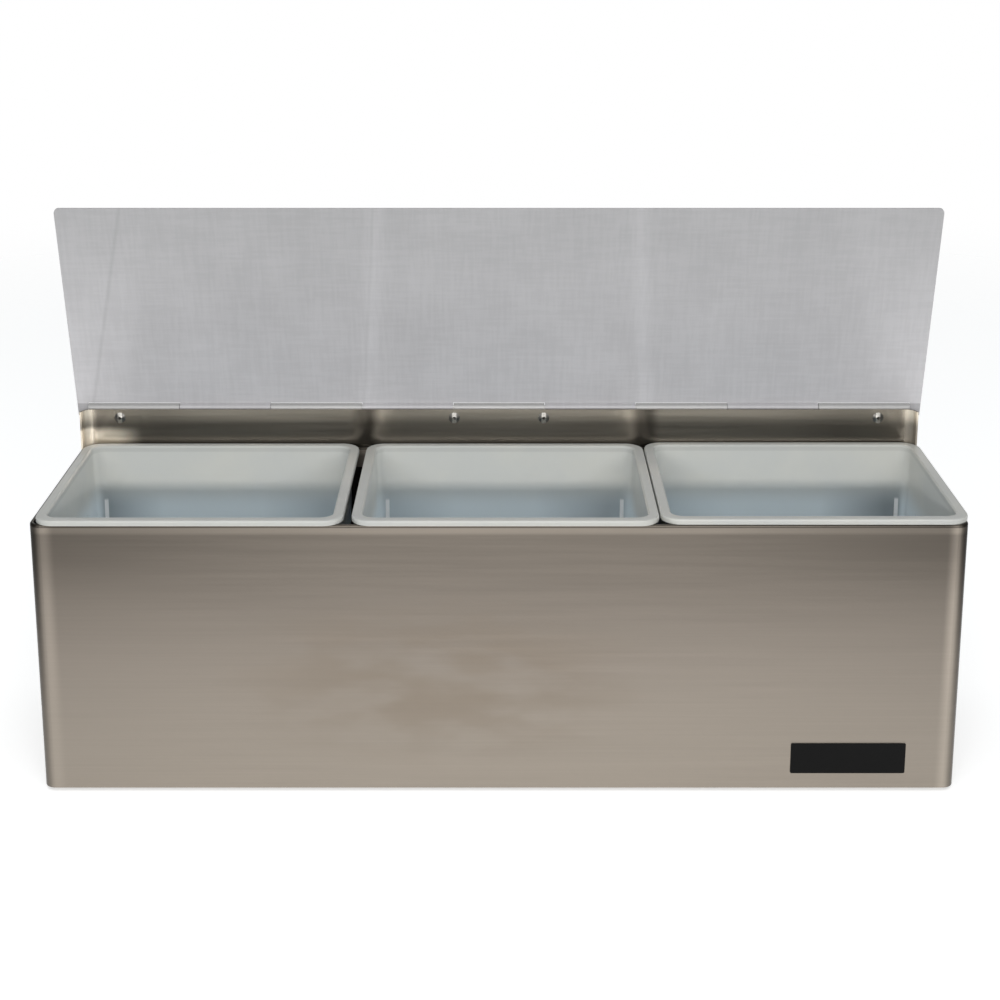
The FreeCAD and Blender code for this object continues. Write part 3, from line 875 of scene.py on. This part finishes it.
    def rib_glints(self, tree: Tree, axes: Node) -> Node:
        """The share of painted glint: one on the stacking ribs and zero beside them.

        Args:
            tree: The node tree.
            axes: The place on the piece, one output each.

        Returns:
            The node whose first output is the share.
        """
        low, high = metres(self.rib_heights_mm)
        inputs = {0: axes.outputs["Z"], 1: low, 2: high, 3: 1.0, 4: 0.0}
        below = add_node(tree, "ShaderNodeMapRange", SMOOTH, inputs)
        low, high = metres(self.rib_ends_mm)
        inputs = {0: nearest(tree, axes, self.rib_places_mm), 1: low, 2: high, 3: 1.0, 4: 0.0}
        on_rib = add_node(tree, "ShaderNodeMapRange", SMOOTH, inputs)
        return add_node(tree, "ShaderNodeMath", PRODUCT, {0: below, 1: on_rib})


@dataclass(frozen=True)
class FilmPlate(Finish):
    """Black printed polyester film: deep and even, with a faint orange-peel gloss."""

    name: str = "black printed polyester film"
    base_hex: str = "#070707"
    peel_mm: float = 1.7
    peel_tones: Pair = (0.9, 1.1)
    roughness: float = 0.42
    rough_spread: float = 0.03
    specular: float = 0.12
    ior: float = 1.5

    def surface(self, tree: Tree) -> dict[str, Any]:
        """Nearly even black with a peel of gloss.

        Args:
            tree: The node tree.

        Returns:
            The shader's inputs.
        """
        peel = uneven(tree, (self.peel_mm,) * 3, 2.0)
        shade = mottle(tree, peel, self.peel_tones)
        tone = add_node(tree, "ShaderNodeMix", TIMES, {0: 1.0, 6: linear(self.base_hex), 7: shade})
        return {
            "Base Color": tone,
            "Roughness": gloss(tree, peel, self.roughness, self.rough_spread),
            "IOR": self.ior,
            "Specular IOR Level": self.specular,
        }


@dataclass(frozen=True)
class MouldedRubber(Finish):
    """Moulded black rubber: dull, a little dusty, with a slightly uneven skin."""

    name: str = "moulded black rubber"
    base_hex: str = "#1D1C1B"
    dust_hex: str = "#3A3836"
    dust_mm: float = 2.0
    dust_share: float = 0.4
    dust_range: Pair = (0.45, 0.8)
    roughness: float = 0.72
    rough_spread: float = 0.06
    ior: float = 1.5

    def surface(self, tree: Tree) -> dict[str, Any]:
        """Black with a film of dust.

        Args:
            tree: The node tree.

        Returns:
            The shader's inputs.
        """
        skin = uneven(tree, (self.dust_mm,) * 3)
        low, high = self.dust_range
        inputs = {0: skin, 1: low, 2: high, 3: 0.0, 4: self.dust_share}
        dust = add_node(tree, "ShaderNodeMapRange", SMOOTH, inputs)
        colours = {0: dust, 6: linear(self.base_hex), 7: linear(self.dust_hex)}
        tone = add_node(tree, "ShaderNodeMix", OVER, colours)
        rough = gloss(tree, skin, self.roughness, self.rough_spread)
        return {"Base Color": tone, "Roughness": rough, "IOR": self.ior}


def dress(nodes: list[str], finish: Finish) -> None:
    """Puts one finish on CAD nodes.

    Args:
        nodes: The nodes' names.
        finish: The finish for all of them.
    """
    material = finish.material()
    for name in nodes:
        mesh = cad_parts[name].data
        mesh.materials.clear()
        mesh.materials.append(material)
        log.info("dressed %s with %s", name, material.name)


@dataclass
class Housing:
    """The folded steel box with its pan and ledge."""

    box_nodes: list[str] = field(default_factory=lambda: ["front_wrap", "base_pan", "rear_ledge"])
    back_nodes: list[str] = field(default_factory=lambda: ["back_panel"])
    box_finish: BrushedSteel = BrushedSteel()
    back_finish: BackSteel = BackSteel()

    def build(self) -> None:
        """Dresses the box."""
        dress(self.box_nodes, self.box_finish)
        dress(self.back_nodes, self.back_finish)


@dataclass
class Lid:
    """The flat lid."""

    nodes: list[str] = field(default_factory=lambda: ["lid_panel"])
    finish: LinenSteel = LinenSteel()

    def build(self) -> None:
        """Dresses the lid."""
        dress(self.nodes, self.finish)


@dataclass
class Hinge:
    """The fixed leaf, its pin and its rivets."""

    # The strip is rolled and dulled by a dry film, so it looks flat and grey.
    leaf_finish: PlainMetal = PlainMetal("rolled stainless hinge strip", "#A2A1A0", 0.42, metal_share=0.35)
    # The wire is drawn smooth, so it stays light.
    pin_finish: PlainMetal = PlainMetal("drawn stainless wire", "#B4B1AC", 0.30)
    rivet_finish: RivetMetal = RivetMetal()

    def build(self) -> None:
        """Dresses the hinge."""
        dress(["hinge_leaf"], self.leaf_finish)
        dress(["hinge_pin"], self.pin_finish)
        dress(["hinge_rivets"], self.rivet_finish)


@dataclass
class Inserts:
    """The three lift-out inserts."""

    nodes: list[str] = field(default_factory=lambda: ["insert_left", "insert_centre", "insert_right"])
    finish: Polypropylene = Polypropylene()

    def build(self) -> None:
        """Dresses the inserts."""
        dress(self.nodes, self.finish)


@dataclass
class Trim:
    """The bare black plate on the front, and the four feet."""

    plate_finish: FilmPlate = FilmPlate()
    foot_finish: MouldedRubber = MouldedRubber()

    def build(self) -> None:
        """Dresses the plate and the feet."""
        dress(["badge"], self.plate_finish)
        feet = ["foot_" + row + "_" + side for row in ("front", "back") for side in ("left", "right")]
        dress(feet, self.foot_finish)


@dataclass(frozen=True)
class Lamp:
    """One rectangular lamp: where it is, what it faces, its size in metres and its watts."""

    name: str
    place: Triple
    target: Triple
    size: Pair
    power: float
    hidden_from: tuple[Ray, ...] = (Ray.GLOSSY,)


@dataclass(frozen=True)
class Card:
    """A card that only reflections see: two opposite corners in metres and its grey.

    It lies level where both corners are at one height, and stands upright otherwise.
    """

    name: str
    low: Triple
    high: Triple
    brightness: float


@dataclass
class Studio:
    """Pale floor, white surroundings, soft lamps and the camera."""

    floor_radius: float = 1.6
    floor_fade: float = 0.8
    floor_hex: str = "#F4F4F4"
    floor_roughness: float = 0.95
    floor_lift: float = 0.44
    sky_strength: float = 0.50
    sky_tint: Colour = (0.93, 0.955, 0.965, 1.0)
    lens_mm: float = 63.018
    sensor_mm: float = 36.0
    camera_place: Triple = (0.0, -0.8837, 0.4663)
    camera_pitch: float = 13.037
    shift_x: float = 0.001
    shift_y: float = -0.230
    clip_range: Pair = (0.01, 50.0)
    # The low strip shines over the inserts' front rims, so its light ends part way down their backs.
    lamps: tuple[Lamp, ...] = (
        Lamp("soft_box", (0.0, -1.1, 1.9), (0.0, 0.0, 0.1), (2.2, 1.4), 10.0),
        Lamp("front_strip", (0.0, -1.4, 0.43), (0.0, 0.05, 0.15), (1.1, 0.08), 11.0, ()),
    )
    # The darker room round the floor, as the steel mirrors it: in front, to the left and right.
    cards: tuple[Card, ...] = (
        Card("card_front", (-1.8, -2.2, 0.002), (1.8, -0.38, 0.002), 0.22),
        Card("card_left", (-1.8, -0.38, 0.002), (-0.46, 1.4, 0.002), 0.30),
        Card("card_right", (0.46, -0.38, 0.002), (1.8, 1.4, 0.002), 0.30),
        Card("screen_left", (-0.50, -0.30, 0.003), (-0.50, 0.9, 0.9), 0.26),
        Card("screen_right", (0.50, -0.30, 0.003), (0.50, 0.9, 0.9), 0.26),
    )

    def build(self) -> None:
        """Builds the studio."""
        self.build_world()
        self.build_floor()
        for lamp in self.lamps:
            self.add_lamp(lamp)
        for card in self.cards:
            self.add_card(card)
        self.build_camera()
        bpy.context.scene.view_settings.view_transform = "Standard"

    def seen_share(self, tree: Tree) -> Node:
        """One for camera, glossy and transmission rays, else zero.

        Args:
            tree: The node tree.

        Returns:
            The node whose first output is the share.
        """
        path = add_node(tree, "ShaderNodeLightPath")
        settings = {"operation": "MAXIMUM"}
        pair = {0: path.outputs["Is Camera Ray"], 1: path.outputs["Is Glossy Ray"]}
        seen = add_node(tree, "ShaderNodeMath", settings, pair)
        pair = {0: seen, 1: path.outputs["Is Transmission Ray"]}
        return add_node(tree, "ShaderNodeMath", settings, pair)

    def build_world(self) -> None:
        """White for the camera and for reflections, and a softer sky for the light itself."""
        world = bpy.data.worlds.new("studio surroundings")
        bpy.context.scene.world = world
        world.use_nodes = True
        tree = world.node_tree
        tree.nodes.clear()
        seen = self.seen_share(tree)
        inputs = {0: seen, 1: 0.0, 2: 1.0, 3: self.sky_strength, 4: 1.0}
        strength = add_node(tree, "ShaderNodeMapRange", inputs=inputs)
        tint = add_node(tree, "ShaderNodeMix", OVER, {0: seen, 6: self.sky_tint, 7: grey(1.0)})
        sky = add_node(tree, "ShaderNodeBackground", inputs={"Color": tint, "Strength": strength})
        add_node(tree, "ShaderNodeOutputWorld", inputs={"Surface": sky})

    def build_floor(self) -> None:
        """A pale floor that keeps the tray's shadow and fades into the white surroundings."""
        reach = self.floor_radius
        floor = self.add_sheet("floor", (-reach, -reach, 0.0), (reach, reach, 0.0))
        material, tree = empty_material("pale seamless paper")
        inputs = {
            "Base Color": linear(self.floor_hex),
            "Roughness": self.floor_roughness,
            "Specular IOR Level": 0.0,
        }
        paper = add_node(tree, "ShaderNodeBsdfPrincipled", inputs=inputs)
        inputs = {0: self.seen_share(tree), 1: self.floor_lift}
        lift = add_node(tree, "ShaderNodeMath", PRODUCT, inputs)
        glow = add_node(tree, "ShaderNodeEmission", inputs={"Color": grey(1.0), "Strength": lift})
        lit = add_node(tree, "ShaderNodeAddShader", inputs={0: paper, 1: glow})
        place = add_node(tree, "ShaderNodeTexCoord").outputs[Given.PLACE.value]
        away = add_node(tree, "ShaderNodeVectorMath", {"operation": "LENGTH"}, {0: place})
        inputs = {0: away, 1: reach - self.floor_fade, 2: reach, 3: 0.0, 4: 1.0}
        fade = add_node(tree, "ShaderNodeMapRange", SMOOTH, inputs)
        clear = add_node(tree, "ShaderNodeBsdfTransparent")
        shown = add_node(tree, "ShaderNodeMixShader", inputs={0: fade, 1: lit, 2: clear})
        add_node(tree, "ShaderNodeOutputMaterial", inputs={"Surface": shown})
        floor.data.materials.append(material)

    def add_sheet(self, name: str, low: Triple, high: Triple) -> bpy.types.Object:
        """Adds a rectangle to the stage: level, or upright where its corners differ in height.

        Args:
            name: The object's name.
            low: One corner.
            high: The opposite corner.

        Returns:
            The new object.
        """
        level = low[2] == high[2]
        near = (high[0], low[1], low[2]) if level else (high[0], high[1], low[2])
        far = (low[0], high[1], high[2]) if level else (low[0], low[1], high[2])
        mesh = bpy.data.meshes.new(name)
        mesh.from_pydata([low, near, high, far], [], [(0, 1, 2, 3)])
        sheet = bpy.data.objects.new(name, mesh)
        bpy.context.scene.collection.objects.link(sheet)
        return sheet

    def add_lamp(self, lamp: Lamp) -> None:
        """Adds one rectangular lamp.

        Args:
            lamp: The lamp's description.
        """
        light = bpy.data.lights.new(lamp.name, "AREA")
        light.shape = "RECTANGLE"
        light.size, light.size_y = lamp.size
        light.energy = lamp.power
        holder = bpy.data.objects.new(lamp.name, light)
        holder.location = lamp.place
        away = np.array(lamp.target) - np.array(lamp.place)
        away /= np.linalg.norm(away)
        holder.rotation_euler = (math.asin(away[2]) + math.pi / 2, 0.0, math.atan2(-away[0], away[1]))
        for ray in lamp.hidden_from:
            setattr(holder, ray.value, False)
        bpy.context.scene.collection.objects.link(holder)

    def add_card(self, card: Card) -> None:
        """Adds one card that only glossy rays see.

        Args:
            card: The card's description.
        """
        sheet = self.add_sheet(card.name, card.low, card.high)
        material, tree = empty_material(card.name)
        inputs = {"Color": grey(card.brightness), "Strength": 1.0}
        glow = add_node(tree, "ShaderNodeEmission", inputs=inputs)
        add_node(tree, "ShaderNodeOutputMaterial", inputs={"Surface": glow})
        sheet.data.materials.append(material)
        for ray in Ray:
            setattr(sheet, ray.value, ray is Ray.GLOSSY)

    def build_camera(self) -> None:
        """The photograph's camera."""
        data = bpy.data.cameras.new("camera")
        data.lens = self.lens_mm
        data.sensor_width = self.sensor_mm
        data.sensor_fit = "HORIZONTAL"
        data.shift_x = self.shift_x
        data.shift_y = self.shift_y
        data.clip_start, data.clip_end = self.clip_range
        camera = bpy.data.objects.new("camera", data)
        camera.location = self.camera_place
        camera.rotation_euler = (math.radians(90 - self.camera_pitch), 0.0, 0.0)
        bpy.context.scene.collection.objects.link(camera)
        bpy.context.scene.camera = camera


def main() -> None:
    """Builds every sub-assembly in order and reports each."""
    logging.basicConfig(level=logging.INFO, format="%(name)s: %(message)s")
    for part in (Housing(), Lid(), Hinge(), Inserts(), Trim(), Studio()):
        part.build()
        log.info("%s done", type(part).__name__)


if __name__ == "__main__":
    main()
